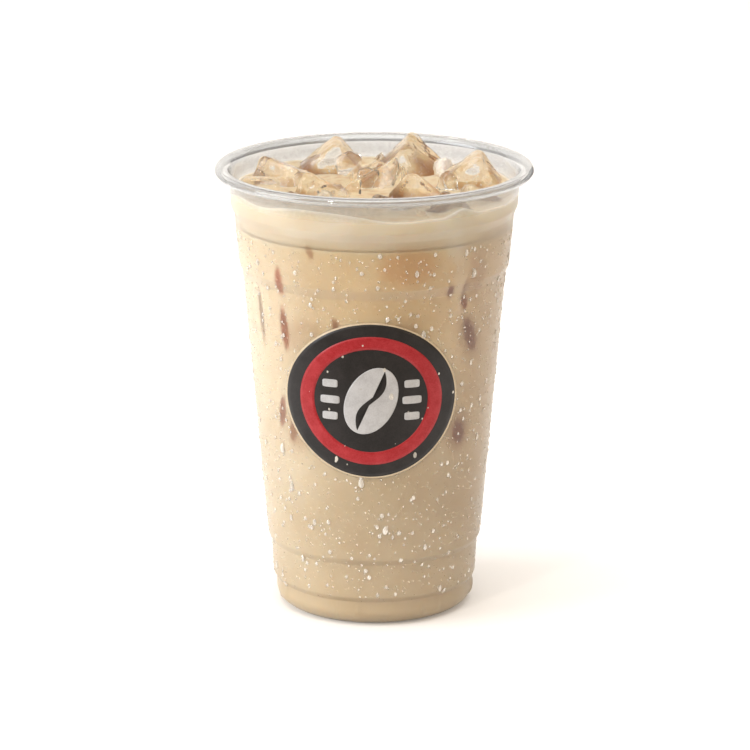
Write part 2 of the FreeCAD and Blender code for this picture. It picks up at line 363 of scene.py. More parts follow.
# ------------------------------------------------------------------ finishes
@dataclass(frozen=True)
class ClearPet:
    """Thermoformed PET film: water clear and very smooth, with dew on the cold part.

    The eye gets bright and dark lines at every bend of the lip, a grey breath of
    mist on the empty part, and below it a broad milky sheen, because thousands of
    tiny drops scatter each lamp's highlight. The drops of that sheen are drawn
    about a millimetre wide, coarser than real ones, which wouldn't show.
    """

    tint: str = "#e9ebec"
    veil: str = "#fbf8f2"
    veil_share: float = 0.035
    veil_spread: float = 0.42
    breath: str = "#bfc0c1"
    breath_share: float = 0.28
    cold_top: float = 131 * MM
    cold_blend: float = 3 * MM
    cold_roughness: float = 0.26
    lip_foot: float = 135.5 * MM
    lip_blend: float = 2 * MM
    ripple_width: float = 18.182 * MM
    smear_width: float = 6.25 * MM
    drop_width: float = 1.1111 * MM
    lamp_pass: float = 0.94

    def material(self) -> bpy.types.Material:
        """Build the film's shader.

        Returns:
            The material.
        """
        material, tree, place = new_material("clear_pet")
        height = tree.add("ShaderNodeSeparateXYZ", {0: place}).outputs["Z"]
        ripple = tree.add(
            "ShaderNodeTexNoise",
            {"Vector": place, "Scale": 1 / self.ripple_width, "Detail": 3.0},
        )
        bump = tree.add("ShaderNodeBump", {"Height": ripple, "Strength": 0.08, "Distance": 0.4 * MM})
        smear = tree.add(
            "ShaderNodeTexNoise",
            {"Vector": place, "Scale": 1 / self.smear_width, "Detail": 4.0},
        )
        polish = tree.add("ShaderNodeMapRange", {0: smear, 1: 0.3, 2: 0.8, 3: 0.02, 4: 0.06})
        cold_end = self.cold_top + self.cold_blend
        warm = tree.add("ShaderNodeMapRange", {0: height, 1: self.cold_top, 2: cold_end})
        lip_end = self.lip_foot + self.lip_blend
        lip = tree.add("ShaderNodeMapRange", {0: height, 1: self.lip_foot, 2: lip_end, 3: 1.0, 4: 0.5})
        cold = tree.add("ShaderNodeMath", {0: 1.0, 1: warm}, operation="SUBTRACT")
        dull = tree.add("ShaderNodeMath", {0: cold, 1: self.cold_roughness}, operation="MULTIPLY")
        film = tree.add(
            "ShaderNodeBsdfPrincipled",
            {
                "Base Color": linear(self.tint),
                "Roughness": tree.add("ShaderNodeMath", {0: polish, 1: dull}, operation="ADD"),
                "IOR": 1.57,
                "Transmission Weight": 1.0,
                "Normal": bump,
            },
        )
        clear = lamplit(tree, film, self.lamp_pass)
        sheen = tree.add(
            "ShaderNodeBsdfPrincipled",
            {"Base Color": linear(self.veil), "Roughness": self.veil_spread, "Metallic": 1.0},
        )
        mist = tree.add("ShaderNodeBsdfPrincipled", {"Base Color": linear(self.breath), "Roughness": 0.6})
        dew = tree.add("ShaderNodeMixShader", {0: warm, 1: sheen, 2: mist})
        drops = tree.add("ShaderNodeTexNoise", {"Vector": place, "Scale": 1 / self.drop_width, "Detail": 2.0})
        patchy = tree.add("ShaderNodeMath", {0: drops, 1: 0.5}, operation="ADD")
        amount = tree.add("ShaderNodeMapRange", {0: warm, 3: self.veil_share, 4: self.breath_share})
        misted = tree.add("ShaderNodeMath", {0: amount, 1: lip}, operation="MULTIPLY")
        share = tree.add("ShaderNodeMath", {0: misted, 1: patchy}, operation="MULTIPLY")
        both = tree.add("ShaderNodeMixShader", {0: share, 1: clear, 2: dew})
        tree.add("ShaderNodeOutputMaterial", {0: both})
        return material


@dataclass(frozen=True)
class MilkCoffee:
    """Coffee with half-and-half: an opaque, warm beige liquid, milkier in the froth.

    The eye gets one soft colour that deepens in the hollows round the ice, partly as
    painted shade, and where something sunk shows through. It is paler at the top, partly
    as painted light, and has a painted sheen on the left. All of this is carried by the
    piece's own colours, with slow wisps of milk and a fine grain of bubbles.
    """

    name: str
    glow_depth: float
    wisp_width: float = 26.316 * MM
    grain_width: float = 0.71429 * MM

    def material(self) -> bpy.types.Material:
        """Build the liquid's shader from its painted colours.

        Returns:
            The material.
        """
        material, tree, place = new_material(self.name)
        paint = tree.add("ShaderNodeAttribute", attribute_name=TINT).outputs["Color"]
        cloud = tree.add(
            "ShaderNodeTexNoise",
            {"Vector": place, "Scale": 1 / self.wisp_width, "Detail": 4.0, "Roughness": 0.6},
        )
        wisp = tree.add("ShaderNodeValToRGB", {0: cloud}, stops=((0.35, "#f4efe6"), (0.65, "#ffffff")))
        speck = tree.add(
            "ShaderNodeTexNoise",
            {"Vector": place, "Scale": 1 / self.grain_width, "Detail": 2.0},
        )
        grain = tree.add("ShaderNodeValToRGB", {0: speck}, stops=((0.3, "#ece4d6"), (0.6, "#ffffff")))
        blend = {"data_type": "RGBA", "blend_type": "MULTIPLY"}
        tinted = tree.add("ShaderNodeMix", {0: 1.0, 6: paint, 7: wisp}, **blend).outputs[2]
        coloured = tree.add("ShaderNodeMix", {0: 0.5, 6: tinted, 7: grain}, **blend).outputs[2]
        bump = tree.add("ShaderNodeBump", {"Height": cloud, "Strength": 0.15, "Distance": 0.5 * MM})
        rough = tree.add("ShaderNodeMapRange", {0: cloud, 1: 0.3, 2: 0.7, 3: 0.3, 4: 0.45})
        liquid = tree.add(
            "ShaderNodeBsdfPrincipled",
            {
                "Base Color": coloured,
                "Roughness": rough,
                "IOR": 1.34,
                "Specular IOR Level": 0.35,
                "Subsurface Weight": 0.45,
                "Subsurface Radius": (1.0, 0.75, 0.5),
                "Subsurface Scale": self.glow_depth,
                "Normal": bump,
            },
        )
        tree.add("ShaderNodeOutputMaterial", {0: liquid})
        return material


@dataclass(frozen=True)
class ClearIce:
    """Machine-made ice, wet: clear with a faint cloud, low index, uneven melted faces.

    The eye gets soft bent views of the coffee below, bright melted edges and a
    cloudy heart.
    """

    tint: str = "#fbf8f2"
    cloud: str = "#fdfcfa"
    cloud_share: float = 0.48
    cloud_width: float = 13.333 * MM
    dent_width: float = 5.8824 * MM
    crease_width: float = 1.9231 * MM
    wet_width: float = 2.381 * MM
    lamp_pass: float = 0.92

    def material(self) -> bpy.types.Material:
        """Build the ice's shader.

        Returns:
            The material.
        """
        material, tree, place = new_material("clear_ice")
        dents = tree.add(
            "ShaderNodeTexNoise",
            {"Vector": place, "Scale": 1 / self.dent_width, "Detail": 1.5, "Distortion": 0.6},
        )
        creases = tree.add(
            "ShaderNodeTexNoise",
            {"Vector": place, "Scale": 1 / self.crease_width, "Detail": 2.0},
        )
        relief = tree.add("ShaderNodeMath", {0: creases, 1: 0.28, 2: dents}, operation="MULTIPLY_ADD")
        bump = tree.add("ShaderNodeBump", {"Height": relief, "Strength": 0.5, "Distance": 1.2 * MM})
        wet = tree.add("ShaderNodeTexNoise", {"Vector": place, "Scale": 1 / self.wet_width, "Detail": 2.0})
        ice = tree.add(
            "ShaderNodeBsdfPrincipled",
            {
                "Base Color": linear(self.tint),
                "Roughness": tree.add("ShaderNodeMapRange", {0: wet, 1: 0.35, 2: 0.75, 3: 0.0, 4: 0.03}),
                "IOR": 1.31,
                "Transmission Weight": 1.0,
                "Normal": bump,
            },
        )
        clear = lamplit(tree, ice, self.lamp_pass)
        frost = tree.add("ShaderNodeBsdfPrincipled", {"Base Color": linear(self.cloud), "Roughness": 0.5})
        drift = tree.add(
            "ShaderNodeTexNoise",
            {"Vector": place, "Scale": 1 / self.cloud_width, "Detail": 6.0, "Roughness": 0.7},
        )
        share = tree.add("ShaderNodeMapRange", {0: drift, 1: 0.51, 2: 0.7, 3: 0.02, 4: self.cloud_share})
        both = tree.add("ShaderNodeMixShader", {0: share, 1: clear, 2: frost})
        tree.add("ShaderNodeOutputMaterial", {0: both})
        return material


@dataclass(frozen=True)
class TrappedAir:
    """Air frozen in ice: tiny white balls, since each mirrors the light all round."""

    bright: str = "#fdfcfa"
    shaded: str = "#e4e2de"
    haze_width: float = 1.25 * MM

    def material(self) -> bpy.types.Material:
        """Build the bubble's shader.

        Returns:
            The material.
        """
        material, tree, place = new_material("trapped_air")
        haze = tree.add("ShaderNodeTexNoise", {"Vector": place, "Scale": 1 / self.haze_width, "Detail": 1.0})
        colour = tree.add("ShaderNodeValToRGB", {0: haze}, stops=((0.3, self.shaded), (0.6, self.bright)))
        air = tree.add(
            "ShaderNodeBsdfPrincipled",
            {"Base Color": colour, "Roughness": 0.25, "IOR": 1.31, "Transmission Weight": 0.35},
        )
        tree.add("ShaderNodeOutputMaterial", {0: air})
        return material


@dataclass(frozen=True)
class DewWater:
    """Condensed water in beads: clear, index of water.

    The eye gets a hard small highlight in each, and a pale glow across it, because
    the bead gathers light on the wall behind.
    """

    glow: str = "#fffaf0"
    glow_share: float = 0.62
    glow_width: float = 3.8462 * MM
    wobble_width: float = 0.66667 * MM
    lamp_pass: float = 0.97

    def material(self) -> bpy.types.Material:
        """Build the water's shader.

        Returns:
            The material.
        """
        material, tree, place = new_material("dew_water")
        wobble = tree.add(
            "ShaderNodeTexNoise",
            {"Vector": place, "Scale": 1 / self.wobble_width, "Detail": 1.0},
        )
        bump = tree.add("ShaderNodeBump", {"Height": wobble, "Strength": 0.1, "Distance": 0.1 * MM})
        water = tree.add(
            "ShaderNodeBsdfPrincipled",
            {
                "Base Color": linear("#ffffff"),
                "Roughness": 0.06,
                "IOR": 1.33,
                "Transmission Weight": 1.0,
                "Normal": bump,
            },
        )
        clear = lamplit(tree, water, self.lamp_pass)
        # Painted glow: a share of white colour stands in for the light that the bead gathers on the wall
        # behind.
        glow = tree.add(
            "ShaderNodeBsdfPrincipled",
            {
                "Base Color": linear(self.glow),
                "Roughness": 0.15,
                "Coat Weight": 1.0,
                "Coat IOR": 1.8,
                "Coat Roughness": 0.05,
            },
        )
        varied = tree.add(
            "ShaderNodeTexNoise",
            {"Vector": place, "Scale": 1 / self.glow_width, "Detail": 1.0},
        )
        share = tree.add("ShaderNodeMath", {0: varied, 1: 2.0 * self.glow_share}, operation="MULTIPLY")
        both = tree.add("ShaderNodeMixShader", {0: share, 1: clear, 2: glow})
        tree.add("ShaderNodeOutputMaterial", {0: both})
        return material


@dataclass(frozen=True)
class PrintedFilm:
    """Printed vinyl: flat ink under a satin skin, with a fine ink grain and faint wear.

    The eye gets an even colour that breaks up a little close by, and soft satin
    lights that wander with the smears on it.
    """

    name: str
    ink: str
    worn: str
    grain_width: float = 0.38462 * MM
    scuff_width: float = 4.7619 * MM
    smear_width: float = 8.3333 * MM

    def material(self) -> bpy.types.Material:
        """Build the print's shader.

        Returns:
            The material.
        """
        material, tree, place = new_material(self.name)
        dots = tree.add("ShaderNodeTexNoise", {"Vector": place, "Scale": 1 / self.grain_width, "Detail": 2.0})
        scuff = tree.add(
            "ShaderNodeTexNoise",
            {"Vector": place, "Scale": 1 / self.scuff_width, "Detail": 6.0, "Roughness": 0.7},
        )
        worn = tree.add("ShaderNodeMath", {0: scuff, 1: 0.65}, operation="MULTIPLY")
        mottle = tree.add("ShaderNodeMath", {0: dots, 1: 0.35, 2: worn}, operation="MULTIPLY_ADD")
        colour = tree.add("ShaderNodeValToRGB", {0: mottle}, stops=((0.4, self.ink), (0.62, self.worn)))
        smear = tree.add(
            "ShaderNodeTexNoise",
            {"Vector": place, "Scale": 1 / self.smear_width, "Detail": 3.0},
        )
        bump = tree.add("ShaderNodeBump", {"Height": dots, "Strength": 0.1, "Distance": 0.05 * MM})
        film = tree.add(
            "ShaderNodeBsdfPrincipled",
            {
                "Base Color": colour,
                "Roughness": tree.add("ShaderNodeMapRange", {0: smear, 1: 0.3, 2: 0.7, 3: 0.32, 4: 0.5}),
                "Specular IOR Level": 0.4,
                "Normal": bump,
            },
        )
        tree.add("ShaderNodeOutputMaterial", {0: film})
        return material


# ------------------------------------------------------------------ the cup
@dataclass
class Cup:
    """Thermoformed cold cup: foot, lugs, stepped wall and rolled lip."""

    # (radius, level, rounding) of the outer face's corners above the heel
    stations: Tuple[Tuple[float, float, float], ...] = (
        (30.7 * MM, 8.1 * MM, 0.5 * MM),
        (31.7 * MM, 9.5 * MM, 1.6 * MM),
        (32.3 * MM, 20.5 * MM, 0.6 * MM),
        (33.3 * MM, 22.3 * MM, 2.4 * MM),
        (40.6 * MM, 106.6 * MM, 3.0 * MM),
        (41.7 * MM, 109.6 * MM, 3.0 * MM),
        (43.1 * MM, 125.0 * MM, 2.6 * MM),
        (44.2 * MM, 127.6 * MM, 2.6 * MM),
        (44.4 * MM, 131.0 * MM, 0.0),
    )
    wall: float = 0.6 * MM
    foot_radius: float = 25.8 * MM
    heel_round: float = 5.0 * MM
    recess_foot: float = 24.6 * MM
    recess_top: float = 22.6 * MM
    recess_depth: float = 2.6 * MM
    recess_round: float = 0.4 * MM
    foot_round: float = 0.3 * MM
    floor_wall: float = 0.8 * MM
    floor_radius: float = 22.8 * MM
    gutter_radius: float = 24.9 * MM
    mouth_radius: float = 44.3 * MM
    mouth_bend: float = 2.6 * MM
    lip_radius: float = 49.0 * MM
    lip_top: float = 139.5 * MM
    lip_curl: float = 1.35 * MM
    lip_tuck: float = 1.2 * MM
    lug_proud: float = 0.45 * MM
    lug_levels: Point = (2.2 * MM, 6.6 * MM)
    lug_count: int = 7
    lug_span: float = 12.0
    lug_turn: float = -3.5
    lug_fade: float = 0.3 * MM
    lug_fade_turn: float = 0.8
    longest_run: float = 3.0 * MM
    around: int = 360
    walls: Dict[float, np.ndarray] = field(default_factory=dict, init=False)

    def side(self, inset: float) -> List[Tuple[float, float, float]]:
        """Corners of the wall from the foot up to the lip's bend.

        Args:
            inset: how far inside the outer face.

        Returns:
            (radius, level, rounding) for each corner.
        """
        heel = self.foot_radius + self.heel_round
        corners = [(heel - inset, inset, self.heel_round - inset)]
        corners += [(radius - inset, level, rounding) for radius, level, rounding in self.stations]
        return corners

    def cavity(self, inset: float) -> List[Point]:
        """Section of the space inside, from the floor's middle to the lip's bend.

        Args:
            inset: depth below the outer face; the wall's thickness gives the real inside.

        Returns:
            (radius, level) points.
        """
        floor = self.recess_depth + self.floor_wall - (self.wall - inset)
        corners = [(0.0, floor, 0.0), (self.floor_radius, floor, 0.0), (self.gutter_radius, inset, 0.0)]
        corners += self.side(inset)
        corners.append((self.mouth_radius + self.wall - inset, self.lip_top - self.mouth_bend, 0.0))
        return rounded(corners)

    def section(self) -> List[Point]:
        """The whole film's section, from under the floor, up, round the lip and back.

        Returns:
            (radius, level) points.
        """
        bend = self.mouth_bend - self.wall
        curl = self.lip_curl - self.wall
        under = self.lip_top - 2 * self.lip_curl
        tuck = self.lip_radius - self.lip_curl - self.lip_tuck
        corners = [
            (0.0, self.recess_depth, 0.0),
            (self.recess_top, self.recess_depth, self.recess_round),
            (self.recess_foot, 0.0, self.foot_round),
        ]
        corners += self.side(0.0)
        corners += [
            (self.mouth_radius + self.wall, self.lip_top - self.wall, bend),
            (self.lip_radius - self.wall, self.lip_top - self.wall, curl),
            (self.lip_radius - self.wall, under + self.wall, curl),
            (tuck, under + self.wall, 0.0),
            (tuck, under, 0.0),
            (self.lip_radius, under, self.lip_curl),
            (self.lip_radius, self.lip_top, self.lip_curl),
            (self.mouth_radius, self.lip_top, self.mouth_bend),
        ]
        corners += list(reversed(self.side(self.wall)))
        floor = self.recess_depth + self.floor_wall
        corners += [
            (self.gutter_radius, self.wall, self.foot_round),
            (self.floor_radius, floor, self.foot_round),
            (0.0, floor, 0.0),
        ]
        return divided(rounded(corners), self.longest_run)

    def lug_push(self, place: Vector) -> float:
        """How far a point of the outer face stands proud for a lug.

        Args:
            place: a point on the heel.

        Returns:
            The push outwards in metres, 0 between the lugs.
        """
        low, high = self.lug_levels
        if not low - MM < place.z < high + MM:
            return 0.0
        bearing = math.degrees(math.atan2(place.y, place.x)) - self.lug_turn
        pitch = 360 / self.lug_count
        off = abs((bearing + pitch / 2) % pitch - pitch / 2)
        half, turn, fade = self.lug_span / 2, self.lug_fade_turn, self.lug_fade
        across = float(ease(np.float64(off), half + turn, half - turn))
        up = float(ease(np.float64(place.z), low - fade, low + fade))
        down = float(ease(np.float64(place.z), high + fade, high - fade))
        return self.lug_proud * across * up * down

    def build(self, material: bpy.types.Material) -> bpy.types.Object:
        """Make the cup's film.

        Args:
            material: the clear film.

        Returns:
            The piece that stands for the cup.
        """
        vertices, faces = turned(self.section(), self.around)
        # Only points outside the middle of the film are pushed, so the inside stays round.
        depth = self.heel_round - self.wall / 2
        outer = self.foot_radius + depth
        for place in vertices:
            reach = math.hypot(place.x, place.y)
            level = max(self.heel_round - place.z, 0.0)
            skin = self.foot_radius + math.sqrt(max(depth**2 - level**2, 0.0))
            if reach > min(skin, outer):
                push = self.lug_push(place)
                place.x *= 1 + push / reach
                place.y *= 1 + push / reach
        piece = new_piece("cup_film", vertices, faces, material, "clear_pet")
        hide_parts("cup")
        return piece

    def radius_at(self, levels: np.ndarray, inset: float) -> np.ndarray:
        """Wall radius at some levels.

        Args:
            levels: heights in metres.
            inset: depth below the outer face.

        Returns:
            The radii.
        """
        if inset not in self.walls:
            climb = [point for point in self.cavity(inset) if point[0] > self.gutter_radius]
            self.walls[inset] = np.array(climb)
        wall = self.walls[inset]
        return np.interp(levels, wall[:, 1], wall[:, 0])


# ------------------------------------------------------------------ drink and froth
@dataclass(frozen=True)
class Shade:
    """A soft patch of colour on the drink: most lie where something sunk lies against the wall, two broad
    pale ones on the left are a painted sheen, and others are pale, white or amber marks.

    The bearing and the lean are in degrees; the level, width and height in mm.
    """

    bearing: float
    level: float
    width: float
    height: float
    lean: float
    colour: str
    strength: float


@dataclass
class Liquid:
    """The drink and the froth on it, cut round the ice."""

    cup: Cup
    seep: float = 0.47 * MM
    drink_level: float = 122.0 * MM
    foam_level: float = 131.4 * MM
    swell: float = 0.5 * MM
    swell_pitch: float = 31.0 * MM
    # (bearing in degrees from the front, reach, rise, spread) of the froth's mounds
    mounds: Tuple[Tuple[float, float, float, float], ...] = (
        (-26, 41 * MM, 2.6 * MM, 15 * MM),
        (-64, 42 * MM, 1.1 * MM, 12 * MM),
        (37, 42 * MM, 2.8 * MM, 4.5 * MM),
        (118, 42 * MM, 1.0 * MM, 12 * MM),
        (-140, 40 * MM, 1.2 * MM, 10 * MM),
        (170, 42 * MM, 0.8 * MM, 14 * MM),
    )
    body_colour: str = "#ddcaa9"
    # The upper colour is paler partly as milk that rises and partly as painted light where less light reaches
    # the top.
    upper_milk_and_light_colour: str = "#f3deba"
    froth_colour: str = "#f7eee0"
    pool_colour: str = "#cfc0a4"
    # The deep colour is partly coffee under the froth and partly painted shade in the hollows round the ice.
    deep_coffee_and_shade_colour: str = "#b28450"
    upper_milk_and_light_levels: Point = (40 * MM, 114 * MM)
    # The froth's fade starts below the drink's level as painted light over the shade under the wall's step.
    froth_and_light_fade: Point = (-0.5 * MM, 4.0 * MM)
    wall_skin: Point = (0.1 * MM, 0.9 * MM)
    deep_coffee_and_shade_levels: Point = (-1.0 * MM, -7.0 * MM)
    vein_pitch: float = 2.4 * MM
    vein_edge: Point = (-0.1, 0.5)
    vein_share: float = 0.5
    shade_edge: Point = (1.3, 0.65)
    shade_radius: float = 37.41 * MM
    meniscus: float = 0.35 * MM
    meniscus_rings: int = 3
    longest_run: float = 1.1 * MM
    wall_rings: int = 16
    top_rings: int = 60
    around: int = 360
    ice_bite: float = 0.12 * MM
    shades: Tuple[Shade, ...] = (
        # Painted sheen: the two broad pale patches on the left, where the lamps' light lies on the wall.
        Shade(-66.0, 84.0, 24.0, 62.0, 0, "#efe2cb", 0.6),
        Shade(-34.0, 103.0, 13.0, 30.0, 0, "#ecdabb", 0.5),
        Shade(60.0, 70.0, 12.0, 44.0, 0, "#e2c8a0", 0.4),
        Shade(39.0, 114.0, 2.0, 15.0, 4, "#f8e8cf", 0.65),
        Shade(-32.0, 93.0, 7.5, 6.5, 0, "#ccab84", 0.45),
        Shade(12.0, 92.5, 7.0, 7.5, 0, "#bc9868", 0.5),
        Shade(-38.0, 64.0, 6.0, 7.5, 0, "#c8a57c", 0.5),
        Shade(44.0, 62.0, 5.0, 7.0, 0, "#b48c5e", 0.5),
        Shade(47.5, 92.0, 4.5, 8.0, 24, "#b8905f", 0.45),
        Shade(-44.0, 110.0, 1.3, 4.4, 0, "#b8601a", 0.9),
        Shade(-43.5, 95.0, 1.5, 6.6, 4, "#aa5e1c", 0.95),
        Shade(-60.0, 97.0, 1.1, 8.6, 3, "#a0805c", 0.8),
        Shade(-16.5, 96.5, 1.1, 4.0, 12, "#9c5c2a", 0.85),
        Shade(-12.0, 94.5, 1.6, 3.0, 15, "#a08058", 0.7),
        Shade(12.5, 91.2, 2.4, 2.7, 0, "#8c4a0c", 1.0),
        Shade(34.0, 108.0, 1.2, 1.9, 0, "#9c4f18", 0.85),
        Shade(42.5, 103.5, 1.3, 2.4, 10, "#a65c18", 0.95),
        Shade(41.5, 107.5, 0.8, 3.6, -6, "#a87244", 0.7),
        Shade(47.5, 92.5, 2.1, 6.0, 24, "#985410", 1.0),
        Shade(-49.0, 67.5, 1.5, 5.2, -10, "#9c5426", 0.85),
        Shade(-42.0, 62.5, 1.6, 4.2, -14, "#a87040", 0.8),
        Shade(44.5, 61.5, 2.5, 4.0, 12, "#98520e", 1.0),
        Shade(-27.0, 121.0, 0.9, 2.4, 20, "#b0702e", 0.6),
        Shade(34.0, 126.0, 3.0, 9.0, 6, "#fff6e8", 0.7),
        Shade(30.0, 129.5, 5.0, 2.2, 0, "#fffaf0", 0.7),
        Shade(-30.0, 127.0, 8.0, 1.6, 4, "#fff8ea", 0.5),
        Shade(14.0, 117.0, 8.0, 6.0, 0, "#e0a55c", 0.4),
        Shade(48.0, 112.0, 3.5, 8.0, 0, "#c08a4c", 0.35),
    )

    def froth_height(self, across: float, along: float) -> float:
        """Level of the froth's top at a place.

        Args:
            across: X in metres.
            along: Y in metres.

        Returns:
            The level in metres.
        """
        turn = math.tau / self.swell_pitch
        level = self.foam_level + self.swell * math.sin(across * turn) * math.cos(along * turn)
        for bearing, reach, rise, spread in self.mounds:
            angle = math.radians(bearing)
            gap = math.hypot(across - reach * math.sin(angle), along + reach * math.cos(angle))
            level += rise * math.exp(-((gap / spread) ** 2))
        return level

    def drink_mesh(self) -> Tuple[List[Vector], List[Tuple[int, ...]]]:
        """Shape the drink, which reaches just into the wall.

        Returns:
            Vertices and faces.
        """
        inset = self.cup.wall - self.seep
        path = [point for point in self.cup.cavity(inset) if point[1] < self.drink_level]
        edge = float(self.cup.radius_at(np.array([self.drink_level]), inset)[0])
        path += [(edge, self.drink_level), (0.0, self.drink_level)]
        return turned(divided(path, self.longest_run), self.around)

    def froth_mesh(self) -> Tuple[List[Vector], List[Tuple[int, ...]]]:
        """Shape the froth: wall band, uneven top and flat underside.

        Returns:
            Vertices and faces.
        """
        inset = self.cup.wall - self.seep
        ways = []
        for step in range(self.around):
            bearing = math.tau * step / self.around
            ways.append((math.sin(bearing), -math.cos(bearing)))
        reach = self.cup.mouth_radius
        edges = [self.froth_height(reach * across, reach * along) for across, along in ways]
        vertices: List[Vector] = [Vector((0.0, 0.0, self.drink_level))]
        rings: List[List[int]] = [[0]]
        for share in np.linspace(0, 1, self.wall_rings):
            rings.append(list(range(len(vertices), len(vertices) + self.around)))
            for (across, along), edge in zip(ways, edges):
                level = self.drink_level + (edge + self.meniscus - self.drink_level) * share
                radius = float(self.cup.radius_at(np.array([level]), inset)[0])
                vertices.append(Vector((radius * across, radius * along, level)))
        rim = [vertices[number] for number in rings[-1]]
        for step in range(1, self.top_rings):
            share = 1 - step / self.top_rings
            climb = self.meniscus * max(0.0, 1 - step / self.meniscus_rings)
            rings.append(list(range(len(vertices), len(vertices) + self.around)))
            for edge in rim:
                across, along = edge.x * share, edge.y * share
                vertices.append(Vector((across, along, self.froth_height(across, along) + climb)))
        rings.append([len(vertices)])
        vertices.append(Vector((0.0, 0.0, self.froth_height(0.0, 0.0))))
        return vertices, stitched(rings)

    def carve(self, piece: bpy.types.Object, cubes: Sequence[bpy.types.Object]) -> None:
        """Cut the liquid round the ice, a hair inside its faces so that no gap shows.

        Args:
            piece: the drink or the froth.
            cubes: the packed ice nodes.
        """
        cutter = merged_copy(cubes, -self.ice_bite)
        cut = piece.modifiers.new("ice", "BOOLEAN")
        cut.operation = "DIFFERENCE"
        cut.solver = "EXACT"
        cut.object = cutter
        settle(piece)
        bpy.data.objects.remove(cutter)

    def paint(self, piece: bpy.types.Object) -> None:
        """Give each point of the mesh the liquid's colour there.

        Args:
            piece: the drink or the froth.
        """
        mesh = piece.data
        places = np.empty(len(mesh.vertices) * 3)
        mesh.vertices.foreach_get("co", places)
        places = places.reshape(-1, 3)
        level = places[:, 2]
        reach = np.hypot(places[:, 0], places[:, 1])
        body, upper, foam, pool, deep = (
            np.array(linear(name)[:3])
            for name in (
                self.body_colour,
                self.upper_milk_and_light_colour,
                self.froth_colour,
                self.pool_colour,
                self.deep_coffee_and_shade_colour,
            )
        )
        # Against the wall: the body, paler upwards, partly as milk that rises and partly as painted light
        # where less light reaches the top.
        colour = blended(body, upper, ease(level, *self.upper_milk_and_light_levels)[:, None])
        # The froth's colour starts a little below the drink's level: painted light over the shade under the
        # wall's step.
        low, high = self.froth_and_light_fade
        head = ease(level, self.drink_level + low, self.drink_level + high)[:, None]
        colour = blended(colour, foam, head)
        # Away from the wall: the pools between the ice, darker with depth, partly as coffee under the froth
        # and partly as painted shade in the hollows round the ice, and darker in veins.
        low, high = self.deep_coffee_and_shade_levels
        depth = ease(level, self.foam_level + low, self.foam_level + high)[:, None]
        veins = np.array([noise.noise(Vector(place) / self.vein_pitch) for place in places])
        depth = np.clip(depth + ease(veins, *self.vein_edge)[:, None] * self.vein_share, 0, 1)
        wall = self.cup.radius_at(level, self.cup.wall)
        inside = ease(wall - reach, *self.wall_skin)[:, None]
        colour = blended(colour, blended(pool, deep, depth), inside)
        bearing = np.degrees(np.arctan2(places[:, 0], -places[:, 1]))
        for shade in self.shades:
            share = self.shade_share(shade, bearing, level)[:, None] * (1 - inside)
            colour = blended(colour, np.array(linear(shade.colour)[:3]), share)
        paint = mesh.color_attributes.new(TINT, "FLOAT_COLOR", "POINT")
        paint.data.foreach_set("color", np.hstack([colour, np.ones((len(colour), 1))]).ravel())

    def shade_share(self, shade: Shade, bearing: np.ndarray, level: np.ndarray) -> np.ndarray:
        """How strongly a shade colours some points.

        Args:
            shade: the patch.
            bearing: the points' bearings in degrees.
            level: their heights in metres.

        Returns:
            The shade's share at each point, from 0 to its strength.
        """
        along = math.radians(1) * self.shade_radius * (bearing - shade.bearing)
        up = level - shade.level * MM
        lean = math.radians(shade.lean)
        across = along * math.cos(lean) + up * math.sin(lean)
        rise = up * math.cos(lean) - along * math.sin(lean)
        gap = np.hypot(across / (shade.width * MM), rise / (shade.height * MM))
        return ease(gap, *self.shade_edge) * shade.strength

    def build(self, cubes: Sequence[bpy.types.Object]) -> List[bpy.types.Object]:
        """Make the drink and the froth.

        Args:
            cubes: the packed ice nodes.

        Returns:
            The two pieces.
        """
        pieces = []
        for name, shape, node, slot, glow_depth in (
            ("milk_coffee", self.drink_mesh(), "drink", "milk_coffee", 5 * MM),
            ("milk_froth", self.froth_mesh(), "foam", "milk_foam", 12 * MM),
        ):
            piece = new_piece(name, *shape, MilkCoffee(name, glow_depth).material(), slot)
            self.carve(piece, cubes)
            self.paint(piece)
            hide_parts(node)
            pieces.append(piece)
        return pieces


def merged_copy(nodes: Sequence[bpy.types.Object], swell: float) -> bpy.types.Object:
    """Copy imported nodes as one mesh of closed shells, swollen or shrunk along their normals.

    Args:
        nodes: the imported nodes, which stay as they are.
        swell: how far their faces move outwards, in metres.

    Returns:
        A new object, linked to the scene.
    """
    solid = bmesh.new()
    for node in nodes:
        solid.from_mesh(node.data)
    bmesh.ops.remove_doubles(solid, verts=solid.verts, dist=0.002 * MM)
    bmesh.ops.recalc_face_normals(solid, faces=solid.faces)
    solid.normal_update()
    for vertex in solid.verts:
        vertex.co += vertex.normal * swell
    return poured("merged_copy", solid)


def settle(piece: bpy.types.Object) -> None:
    """Turn a piece's modifiers into plain mesh.

    Args:
        piece: the piece, which is changed in place.
    """
    graph = bpy.context.evaluated_depsgraph_get()
    graph.update()
    mesh = bpy.data.meshes.new_from_object(piece.evaluated_get(graph))
    old = piece.data
    piece.modifiers.clear()
    piece.data = mesh
    bpy.data.meshes.remove(old)


